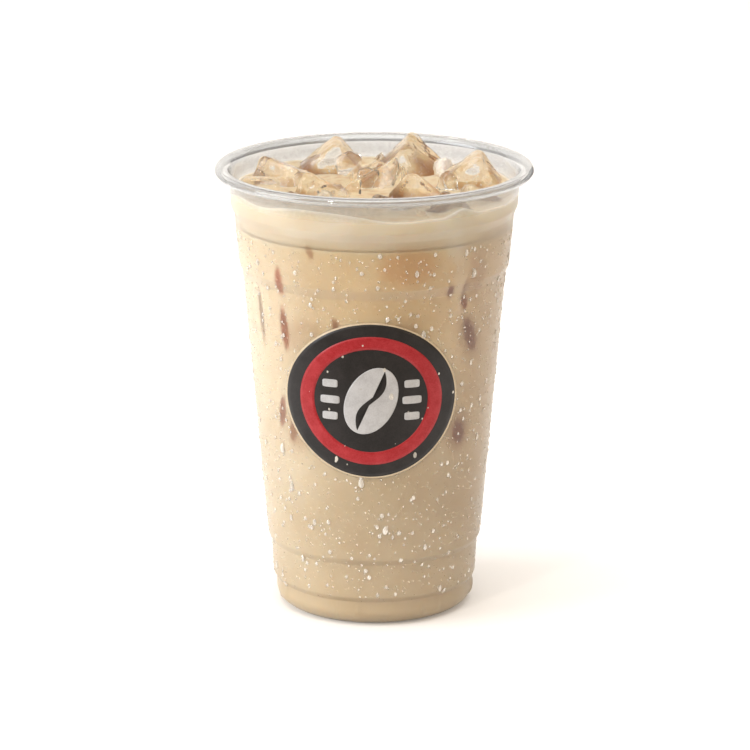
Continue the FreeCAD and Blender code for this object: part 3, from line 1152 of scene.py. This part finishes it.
# ------------------------------------------------------------------ the ice
@dataclass
class IceHeap:
    """The cubes that break the surface: wet, half melted, with air in their hearts."""

    nodes: Dict[str, bpy.types.Object]
    waterline: float = 129.5 * MM
    voxel: float = 0.42 * MM
    chip_voxel: float = 0.78 * MM
    melt: float = 0.6 * MM
    melt_pitch: float = 4.6 * MM
    ripple: float = 0.16 * MM
    ripple_pitch: float = 1.5 * MM
    melt_gain: float = 1.6
    bare_blend: float = 3 * MM
    # (across, along, level, size) in mm of the broken pieces between the cubes
    chips: Tuple[Tuple[float, float, float, float], ...] = (
        (-12, -13, 131.5, 12.0),
        (-21, 6, 132.0, 11.5),
        (-8, 20, 134.0, 12.0),
        (10, 10, 133.0, 11.5),
        (20, 17, 132.5, 12.5),
        (24, -15, 131.0, 10.5),
        (-26, -15, 131.5, 11.5),
        (-5, -9, 132.0, 11.5),
        (-4, -33, 130.5, 10.0),
        (-28, -26, 130.5, 9.5),
        (0, 33, 132.5, 11.0),
        (37, 13, 131.0, 10.0),
        (-36, 18, 131.0, 10.0),
        (22, 4, 132.0, 10.5),
        (14, -34, 130.5, 9.5),
        (-33, -15, 131.0, 9.0),
        (5, -22, 131.5, 11.0),
        (30, -22, 131.0, 9.0),
        (-17, -32, 130.5, 9.0),
        (-2, 4, 132.5, 11.0),
    )
    chip_corners: int = 9
    chip_reach: Point = (0.42, 0.58)
    chip_round: float = 1.1 * MM
    # (across, along, level) in mm of the large plate's corners
    plate: Tuple[Tuple[float, float, float], ...] = (
        (-10.0, 2.0, 132.0),
        (7.4, 3.5, 141.6),
        (8.6, 2.5, 138.2),
        (4.6, -1.0, 128.0),
        (-8.0, -1.0, 128.0),
        (-9.0, 6.0, 132.0),
        (7.6, 7.0, 141.0),
        (5.0, 6.0, 128.0),
    )
    bubbles_each: int = 42
    bubble_sizes: Point = (0.08 * MM, 0.26 * MM)
    bubble_tall: float = 1.4
    # the heart's spread and its limit as shares of a cube's half size, and how far they stretch
    heart_spread: float = 0.17
    heart_limit: float = 0.42
    heart_stretch: float = 1.1
    seed: int = 17

    def cubes(self) -> List[bpy.types.Object]:
        """The packed ice nodes, in order."""
        return [self.nodes[name] for name in sorted(self.nodes) if name.startswith("ice_")]

    def melted(self, cube: bpy.types.Object, material: bpy.types.Material) -> bpy.types.Object:
        """Make one cube's wet skin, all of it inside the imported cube.

        Args:
            cube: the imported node.
            material: the ice.

        Returns:
            The piece that stands for the node.
        """
        piece = merged_copy([cube], 0.0)
        piece.name = cube.name + "_wet"
        self.wet(piece, self.voxel, material)
        enrol(piece, "ice", cube.name)
        return piece

    def wet(self, piece: bpy.types.Object, voxel: float, material: bpy.types.Material) -> None:
        """Give a closed rough shape the waves and ripples of melting ice.

        Args:
            piece: the shape, which is changed in place.
            voxel: the mesh's fineness.
            material: the ice.
        """
        grid = piece.modifiers.new("grid", "REMESH")
        grid.mode = "VOXEL"
        grid.voxel_size = voxel
        settle(piece)
        shift = Vector((sum(map(ord, piece.name)) % 97, 0, 0))
        moves = []
        for vertex in piece.data.vertices:
            wave = 0.5 - 0.5 * noise.noise(vertex.co / self.melt_pitch + shift)
            crease = 0.5 + 0.5 * noise.noise(vertex.co / self.ripple_pitch + shift)
            bare = float(ease(np.float64(vertex.co.z), self.waterline, self.waterline + self.bare_blend))
            loss = self.melt * wave**2 * self.melt_gain + self.ripple * crease
            moves.append(vertex.normal * -loss * bare)
        for vertex, move in zip(piece.data.vertices, moves):
            vertex.co += move
        dressed(piece, material)

    def chip(self, name: str, corners: Sequence[Vector], material: bpy.types.Material) -> bpy.types.Object:
        """Make one broken piece of ice between the cubes.

        Args:
            name: the piece's name.
            corners: its corners.
            material: the ice.

        Returns:
            The piece.
        """
        solid = bmesh.new()
        for corner in corners:
            solid.verts.new(corner)
        bmesh.ops.convex_hull(solid, input=solid.verts)
        bmesh.ops.bevel(
            solid,
            geom=solid.edges,
            offset=self.chip_round,
            segments=2,
            affect="EDGES",
            clamp_overlap=True,
        )
        piece = poured(name, solid)
        self.wet(piece, self.chip_voxel, material)
        enrol(piece, "ice")
        return piece

    def broken(self, material: bpy.types.Material) -> List[bpy.types.Object]:
        """Make the large plate in the middle and the small broken pieces.

        Args:
            material: the ice.

        Returns:
            The pieces.
        """
        pieces = [self.chip("ice_plate", [Vector(corner) * MM for corner in self.plate], material)]
        dice = random.Random(self.seed)
        for number, (*middle, size) in enumerate(self.chips, start=1):
            corners = []
            for _ in range(self.chip_corners):
                way = Vector([dice.gauss(0, 1) for _ in range(3)]).normalized()
                reach = size * dice.uniform(*self.chip_reach)
                corners.append((Vector(middle) + way * reach) * MM)
            pieces.append(self.chip(f"ice_chip_{number:02d}", corners, material))
        return pieces

    def bubbles(self, material: bpy.types.Material) -> bpy.types.Object:
        """Make the air bubbles frozen in the hearts of the cubes, as one piece.

        Args:
            material: the trapped air.

        Returns:
            The piece.
        """
        dice = random.Random(self.seed)
        smallest, largest = self.bubble_sizes
        solid = bmesh.new()
        for cube in self.cubes():
            low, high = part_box(cube.name)
            heart = (low + high) / 2
            half = (high - low) / 2
            for _ in range(self.bubbles_each):
                away = Vector([dice.gauss(0, self.heart_spread) for _ in range(3)])
                if away.length > self.heart_limit:
                    continue
                place = heart + Vector([a * h for a, h in zip(away, half)]) * self.heart_stretch
                size = smallest + (largest - smallest) * dice.random() ** 2
                ball = Matrix.Translation(place) @ Matrix.Diagonal((size, size, size * self.bubble_tall, 1))
                bmesh.ops.create_icosphere(solid, subdivisions=1, radius=1.0, matrix=ball)
        piece = poured("ice_bubbles", solid)
        dressed(piece, material)
        enrol(piece, "ice")
        return piece

    def build(self, ice: bpy.types.Material, air: bpy.types.Material) -> List[bpy.types.Object]:
        """Make all cubes and their bubbles.

        Args:
            ice: the ice.
            air: the trapped air.

        Returns:
            The pieces.
        """
        return [self.melted(cube, ice) for cube in self.cubes()] + self.broken(ice) + [self.bubbles(air)]


# ------------------------------------------------------------------ condensation
class Bead(Enum):
    """Kinds of drop on the wall."""

    FINE = "fine"
    ROUND = "round"
    RUNNING = "running"


@dataclass(frozen=True)
class BeadSize:
    """How many drops of a kind there are, how large in radius and how much taller than wide."""

    count: int
    smallest: float
    largest: float
    stretch: float
    seed: int


@dataclass
class Condensation:
    """Drops of water on the outside of the cold wall."""

    cup: Cup
    low: float = 8.0 * MM
    high: float = 121.0 * MM
    skin_rings: int = 60
    skin_around: int = 90
    small_bias: float = 2.2
    face_out: float = 0.5
    face_in: float = 0.12
    sizes: Dict[Bead, BeadSize] = field(
        default_factory=lambda: {
            Bead.FINE: BeadSize(5600, 0.13 * MM, 0.34 * MM, 1.05, 3),
            Bead.ROUND: BeadSize(1350, 0.28 * MM, 0.72 * MM, 1.2, 11),
            Bead.RUNNING: BeadSize(52, 0.7 * MM, 1.1 * MM, 1.6, 29),
        }
    )

    def skin(self) -> bpy.types.Object:
        """Make the wall's outer face as a ground for the drops.

        Returns:
            The face, which is removed once the drops are set.
        """
        levels = np.linspace(self.low, self.high, self.skin_rings)
        path = list(zip(self.cup.radius_at(levels, 0.0).tolist(), levels.tolist()))
        vertices, faces = turned(path, self.skin_around)
        mesh = bpy.data.meshes.new("wall_skin")
        mesh.from_pydata([tuple(place) for place in vertices], [], faces)
        mesh.update()
        return linked("wall_skin", mesh)

    def drop(self, kind: Bead) -> bpy.types.Object:
        """Make one drop: a flattened dome whose lower end is fuller.

        Args:
            kind: which drop.

        Returns:
            The drop, about 1 in radius.
        """
        solid = bmesh.new()
        divisions = 1 if kind is Bead.FINE else 2
        bmesh.ops.create_icosphere(solid, subdivisions=divisions, radius=1.0)
        stretch = self.sizes[kind].stretch
        for vertex in solid.verts:
            lower = 0.5 - 0.5 * vertex.co.y
            vertex.co.x *= 0.8 + 0.25 * lower
            vertex.co.y *= stretch
            vertex.co.z *= self.face_out if vertex.co.z > 0 else self.face_in
        drop = poured("drop_" + kind.value, solid)
        smoothed(drop)
        return drop

    def scatter(
        self, kind: Bead, drop: bpy.types.Object, material: bpy.types.Material
    ) -> bpy.types.NodeTree:
        """Build the Geometry Nodes group that sets the drops on the wall.

        Args:
            kind: which drops.
            drop: the drop's mesh.
            material: the water.

        Returns:
            The node group, with inputs Density, Seed, Smallest and Largest.
        """
        group = bpy.data.node_groups.new("dew_" + kind.value, "GeometryNodeTree")
        sockets = group.interface
        sockets.new_socket("Wall", in_out="INPUT", socket_type="NodeSocketGeometry")
        for name, number in (
            ("Density", "NodeSocketFloat"),
            ("Seed", "NodeSocketInt"),
            ("Smallest", "NodeSocketFloat"),
            ("Largest", "NodeSocketFloat"),
        ):
            sockets.new_socket(name, in_out="INPUT", socket_type=number)
        sockets.new_socket("Drops", in_out="OUTPUT", socket_type="NodeSocketGeometry")
        tree = Tree(group)
        given = tree.add("NodeGroupInput").outputs
        spread = tree.add(
            "GeometryNodeDistributePointsOnFaces",
            {"Mesh": given["Wall"], "Density": given["Density"], "Seed": given["Seed"]},
        ).outputs
        chance = tree.add("FunctionNodeRandomValue", {"Seed": given["Seed"]}, data_type="FLOAT").outputs[1]
        small = tree.add("ShaderNodeMath", {0: chance, 1: self.small_bias}, operation="POWER")
        size = tree.add("ShaderNodeMapRange", {0: small, 3: given["Smallest"], 4: given["Largest"]})
        upright = tree.add(
            "FunctionNodeAlignRotationToVector",
            {"Rotation": spread["Rotation"], "Vector": (0.0, 0.0, 1.0)},
            axis="Y",
            pivot_axis="Z",
        )
        source = tree.add("GeometryNodeObjectInfo", {"Object": drop}).outputs["Geometry"]
        drops = tree.add(
            "GeometryNodeInstanceOnPoints",
            {"Points": spread["Points"], "Instance": source, "Rotation": upright, "Scale": size},
        )
        real = tree.add("GeometryNodeRealizeInstances", {0: drops})
        wet = tree.add("GeometryNodeSetMaterial", {"Geometry": real, "Material": material})
        tree.add("NodeGroupOutput", {0: wet})
        return group

    def build(self, material: bpy.types.Material) -> List[bpy.types.Object]:
        """Make one piece for each kind of drop.

        Args:
            material: the water.

        Returns:
            The pieces.
        """
        skin = self.skin()
        area = sum(polygon.area for polygon in skin.data.polygons)
        pieces = []
        for kind, size in self.sizes.items():
            drop = self.drop(kind)
            group = self.scatter(kind, drop, material)
            modifier = skin.modifiers.new("dew", "NODES")
            modifier.node_group = group
            values = {
                "Density": size.count / area,
                "Seed": size.seed,
                "Smallest": size.smallest,
                "Largest": size.largest,
            }
            for item in group.interface.items_tree:
                if item.in_out == "INPUT" and item.name in values:
                    modifier[item.identifier] = values[item.name]
            graph = bpy.context.evaluated_depsgraph_get()
            graph.update()
            mesh = bpy.data.meshes.new_from_object(skin.evaluated_get(graph))
            skin.modifiers.remove(modifier)
            mesh.name = "dew_" + kind.value
            piece = linked(mesh.name, mesh)
            enrol(piece, "clear_pet")
            pieces.append(piece)
            bpy.data.objects.remove(drop)
        bpy.data.objects.remove(skin)
        return pieces


# ------------------------------------------------------------------ the label
@dataclass
class Badge:
    """Round sticker on the front: dark field, red band, a coffee bean and plain bars."""

    cup: Cup
    middle_x: float = -1.0 * MM
    middle_level: float = 74.7 * MM
    half_width: float = 26.0 * MM
    half_height: float = 25.0 * MM
    thick: float = 0.25 * MM
    ink_step: float = 0.02 * MM
    rim: float = 0.5 * MM
    band_half: Point = (21.5 * MM, 20.6 * MM)
    band_open: float = 0.8
    bean_half: Point = (7.6 * MM, 11.2 * MM)
    bean_lean: float = -24.0
    cleft_half: Point = (0.75 * MM, 10.3 * MM)
    cleft_wave: float = 1.7 * MM
    bar_reach: float = 12.4 * MM
    # (height of the bar's middle above the badge's, half width) of the bars on one side
    bar_rows: Tuple[Point, ...] = ((5.2 * MM, 2.3 * MM), (0.0, 2.9 * MM), (-5.2 * MM, 2.3 * MM))
    bar_half_height: float = 1.25 * MM
    bar_squareness: float = 0.35

    def on_wall(self, across: float, up: float, lift: float) -> Vector:
        """Wrap a point of the flat design on the wall.

        Args:
            across: X from the badge's middle.
            up: height above its middle.
            lift: how far out from the wall.

        Returns:
            The place in the frame.
        """
        level = self.middle_level + up
        radius = float(self.cup.radius_at(np.array([level]), 0.0)[0]) + lift
        x = self.middle_x + across
        return Vector((x, -math.sqrt(radius**2 - x**2), level))

    def patch(
        self,
        name: str,
        edge: Callable[[float], Point],
        lift: float,
        material: bpy.types.Material,
        inner: float = 0.0,
        base: Optional[float] = None,
        middle: Point = (0.0, 0.0),
        rings: int = 22,
        around: int = 180,
    ) -> bpy.types.Object:
        """Make a thin printed shape.

        Args:
            name: the piece's name.
            edge: outline as a function of the angle, (across, up) from middle.
            lift: level of its face above the wall.
            material: its ink.
            inner: share of the outline that is left open in the middle.
            base: level of its underside; just below lift if left out.
            middle: the outline's centre on the badge.
            rings: rings of faces.
            around: steps round.

        Returns:
            The piece.
        """
        under = lift - self.ink_step if base is None else base
        vertices: List[Vector] = []
        loops: List[List[int]] = []

        def ring(share: float, height: float) -> None:
            """Add one ring, or a pole where the share is nothing.

            Args:
                share: the ring's size as a share of the outline.
                height: its height above the wall.
            """
            if share < 1e-6:
                loops.append([len(vertices)])
                vertices.append(self.on_wall(middle[0], middle[1], height))
                return
            loops.append(list(range(len(vertices), len(vertices) + around)))
            for step in range(around):
                across, up = edge(math.tau * step / around)
                vertices.append(self.on_wall(middle[0] + across * share, middle[1] + up * share, height))

        for step in range(rings + 1):
            ring(inner + (1 - inner) * step / rings, lift)
        for step in range(rings, -1, -1):
            ring(inner + (1 - inner) * step / rings, under)
        faces = stitched(loops)
        if inner:
            faces += stitched([loops[-1], loops[0]])
        return new_piece(name, vertices, faces, material, "label_vinyl")

    def leaned(self, across: float, up: float, lean: float) -> Point:
        """Turn a point of the flat design about the badge's middle by some degrees."""
        turn = math.radians(lean)
        return across * math.cos(turn) - up * math.sin(turn), across * math.sin(turn) + up * math.cos(turn)

    def oval(self, wide: float, high: float, lean: float = 0.0) -> Callable[[float], Point]:
        """An ellipse as an outline.

        Args:
            wide: half width.
            high: half height.
            lean: turn in degrees.

        Returns:
            The outline's function.
        """

        def edge(angle: float) -> Point:
            """Point of the ellipse at an angle."""
            return self.leaned(wide * math.cos(angle), high * math.sin(angle), lean)

        return edge

    def bar(self, wide: float, high: float) -> Callable[[float], Point]:
        """A bar with rounded corners as an outline.

        Args:
            wide: half width.
            high: half height.

        Returns:
            The outline's function.
        """

        def edge(angle: float) -> Point:
            """Point of the bar's outline at an angle.

            Args:
                angle: the angle in radians.

            Returns:
                The point, as (across, up).
            """
            c, s = math.cos(angle), math.sin(angle)
            return (
                wide * math.copysign(abs(c) ** self.bar_squareness, c),
                high * math.copysign(abs(s) ** self.bar_squareness, s),
            )

        return edge

    def cleft(self) -> Callable[[float], Point]:
        """The bean's wavy cleft as an outline.

        Returns:
            The outline's function.
        """
        wide, high = self.cleft_half

        def edge(angle: float) -> Point:
            """Point of the cleft's outline at an angle.

            Args:
                angle: the angle in radians.

            Returns:
                The point, as (across, up).
            """
            up = high * math.sin(angle)
            wave = self.cleft_wave * math.sin(up / high * math.pi)
            return self.leaned(wide * math.cos(angle) + wave, up, self.bean_lean)

        return edge

    def build(self) -> List[bpy.types.Object]:
        """Make the sticker and its inks.

        Returns:
            The pieces, the film first.
        """
        black = PrintedFilm("badge_black", "#191718", "#2a2627").material()
        cream = PrintedFilm("badge_cream", "#cbb89b", "#d8c9ae").material()
        red = PrintedFilm("badge_red", "#a3161f", "#b8323a").material()
        silver = PrintedFilm("badge_silver", "#c9cbcf", "#b5b6ba").material()
        first, second, third = (self.thick + self.ink_step * layer for layer in (1, 2, 3))
        whole = self.oval(self.half_width, self.half_height)
        inner = self.oval(self.half_width - self.rim, self.half_height - self.rim)
        band = self.oval(*self.band_half)
        bean = self.oval(*self.bean_half, self.bean_lean)
        film = self.patch("badge_film", whole, self.thick, cream, base=0.0)
        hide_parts("label")
        pieces = [
            film,
            self.patch("badge_field", inner, first, black),
            self.patch("badge_band", band, second, red, inner=self.band_open, rings=5),
            self.patch("badge_bean", bean, second, silver),
            self.patch("badge_cleft", self.cleft(), third, black),
        ]
        for number, side in enumerate((-1, 1), start=1):
            for row, (up, half) in enumerate(self.bar_rows, start=1):
                piece = self.patch(
                    f"badge_bar_{number}{row}",
                    self.bar(half, self.bar_half_height),
                    second,
                    silver,
                    middle=(side * self.bar_reach, up),
                    rings=6,
                    around=64,
                )
                pieces.append(piece)
        return pieces


# ------------------------------------------------------------------ the studio
@dataclass(frozen=True)
class MattPaper:
    """Thick matt paper of the stage.

    The eye gets an even tone without a highlight. Its fibres are drawn far larger
    than real ones, which would be too fine to show.
    """

    name: str
    shaded: str
    bright: str
    fibre_width: float
    stops: Point = (0.3, 0.7)
    shine: float = 0.5
    glow: float = 0.0

    def material(self) -> bpy.types.Material:
        """Build the paper's shader.

        Returns:
            The material.
        """
        material, tree, place = new_material(self.name)
        low, high = self.stops
        fibre = tree.add(
            "ShaderNodeTexNoise",
            {"Vector": place, "Scale": 1 / self.fibre_width, "Detail": 2.0},
        )
        colour = tree.add("ShaderNodeValToRGB", {0: fibre}, stops=((low, self.shaded), (high, self.bright)))
        paper = tree.add(
            "ShaderNodeBsdfPrincipled",
            {
                "Base Color": colour,
                "Roughness": 0.9,
                "Specular IOR Level": self.shine,
                "Emission Color": linear("#ffffff"),
                "Emission Strength": self.glow,
            },
        )
        tree.add("ShaderNodeOutputMaterial", {0: paper})
        return material


@dataclass(frozen=True)
class Lamp:
    """A soft rectangular lamp: where it hangs, what it faces, its size in metres and its power."""

    name: str
    place: Tuple[float, float, float]
    aim: Tuple[float, float, float]
    size: Point
    watts: float
    colour: str = "#ffffff"

    def build(self) -> None:
        """Hang the lamp."""
        data = bpy.data.lights.new(self.name, "AREA")
        data.shape = "RECTANGLE"
        data.size, data.size_y = self.size
        data.energy = self.watts
        data.color = linear(self.colour)[:3]
        lamp = bpy.data.objects.new(self.name, data)
        lamp.location = self.place
        lamp.rotation_euler = (Vector(self.aim) - Vector(self.place)).to_track_quat("-Z", "Y").to_euler()
        bpy.context.scene.collection.objects.link(lamp)


@dataclass
class Studio:
    """White sweep, dark card, soft lamps and the camera."""

    look_at: Tuple[float, float, float] = (0.0, 0.0, 72.3 * MM)
    distance: float = 1209 * MM
    elevation: float = 15.62
    lens: float = 186.15
    shift: float = 0.0009
    # (along, up, rounding) in metres of the sweep's corners, from the front
    sweep_corners: Tuple[Tuple[float, float, float], ...] = (
        (-0.14, 0.0, 0.0),
        (1.5, 0.0, 0.35),
        (1.75, 1.6, 0.0),
    )
    sweep_half: float = 1.6
    sweep_run: float = 0.1
    # (across, along, rounding) in metres of the card's corners, seen from above
    card_corners: Tuple[Tuple[float, float, float], ...] = (
        (0.20, 0.62, 0.1),
        (0.34, 0.56, 0.1),
        (0.46, 0.40, 0.1),
    )
    card_levels: Point = (0.002, 0.32)
    card_run: float = 0.05
    lamps: Tuple[Lamp, ...] = (
        Lamp("key_left", (-1.45, -0.35, 0.7), (0, 0, 0.07), (1.0, 1.0), 16, "#f4f8ff"),
        Lamp("spark", (-0.75, -1.15, 0.95), (0, 0, 0.07), (0.1, 0.1), 3.4, "#fff6e6"),
        Lamp("overhead", (0.0, -0.25, 1.35), (0, 0, 0.1), (1.0, 1.0), 8),
        Lamp("fill_right", (1.15, -0.95, 0.5), (0, 0, 0.07), (0.5, 1.0), 2.4, "#ffe4c4"),
        Lamp("top_back", (0.0, 0.7, 1.3), (0, 0, 0.12), (1.2, 0.7), 0.6),
        Lamp("backdrop", (0.0, 0.3, 1.5), (0, 0.9, 0.0), (2.0, 0.8), 6.5),
    )
    sky_colour: str = "#ffecd4"
    sky_strength: float = 0.52

    def camera(self) -> None:
        """Set the camera in front, a little above."""
        data = bpy.data.cameras.new("camera")
        data.lens = self.lens
        data.sensor_width = 36
        data.shift_x = self.shift
        data.clip_start, data.clip_end = 0.05, 50
        camera = bpy.data.objects.new("camera", data)
        tilt = math.radians(self.elevation)
        back = Vector((0, -math.cos(tilt), math.sin(tilt)))
        camera.location = Vector(self.look_at) + back * self.distance
        camera.rotation_euler = (math.radians(90 - self.elevation), 0, 0)
        bpy.context.scene.collection.objects.link(camera)
        bpy.context.scene.camera = camera

    def sheet(
        self, name: str, vertices: Sequence[Tuple[float, float, float]], paper: MattPaper
    ) -> bpy.types.Object:
        """Make a sheet of paper for the stage.

        Args:
            name: the sheet's name.
            vertices: places in metres, in pairs from one edge to the other.
            paper: its finish.

        Returns:
            The sheet, shaded flat.
        """
        faces = [(n, n + 1, n + 3, n + 2) for n in range(0, len(vertices) - 2, 2)]
        mesh = bpy.data.meshes.new(name)
        mesh.from_pydata(vertices, [], faces)
        mesh.materials.append(paper.material())
        return linked(name, mesh)

    def sweep(self) -> None:
        """Make the white floor that curves up behind."""
        path = divided(rounded(self.sweep_corners), self.sweep_run)
        vertices = [(side * self.sweep_half, along, up) for along, up in path for side in (-1, 1)]
        paper = MattPaper("white_sweep", "#f7f7f7", "#fafafa", 166.67 * MM, shine=0.1, glow=0.14)
        sweep = self.sheet("sweep", vertices, paper)
        smoothed(sweep)

    def flag(self) -> None:
        """Stand a dark card behind on the right, out of view, that draws the film's right edge."""
        path = divided(rounded(self.card_corners), self.card_run)
        vertices = [(across, along, level) for across, along in path for level in self.card_levels]
        flag = self.sheet("flag", vertices, MattPaper("grey_card", "#6c6c70", "#76767a", 25 * MM))

    def build(self) -> None:
        """Set up the sweep, the flag, the lamps, the sky and the camera."""
        self.sweep()
        self.flag()
        for lamp in self.lamps:
            lamp.build()
        world = bpy.data.worlds.new("studio_air")
        world.use_nodes = True
        tree = Tree(world.node_tree)
        sky = tree.add("ShaderNodeBackground", {0: linear(self.sky_colour), 1: self.sky_strength})
        tree.add("ShaderNodeOutputWorld", {0: sky})
        scene = bpy.context.scene
        scene.world = world
        scene.view_settings.view_transform = "Standard"
        self.camera()


def main() -> None:
    """Build the drink, dress it and light it."""
    logging.basicConfig(level=logging.INFO, format="%(name)s: %(message)s")
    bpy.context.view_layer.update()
    Studio().build()
    cup = Cup()
    report(cup.build(ClearPet().material()))
    heap = IceHeap(frame["nodes"])
    for piece in heap.build(ClearIce().material(), TrappedAir().material()):
        report(piece)
    for piece in Liquid(cup).build(heap.cubes()):
        report(piece)
    for piece in Badge(cup).build():
        report(piece)
    for piece in Condensation(cup).build(DewWater().material()):
        report(piece)


if __name__ == "__main__":
    main()
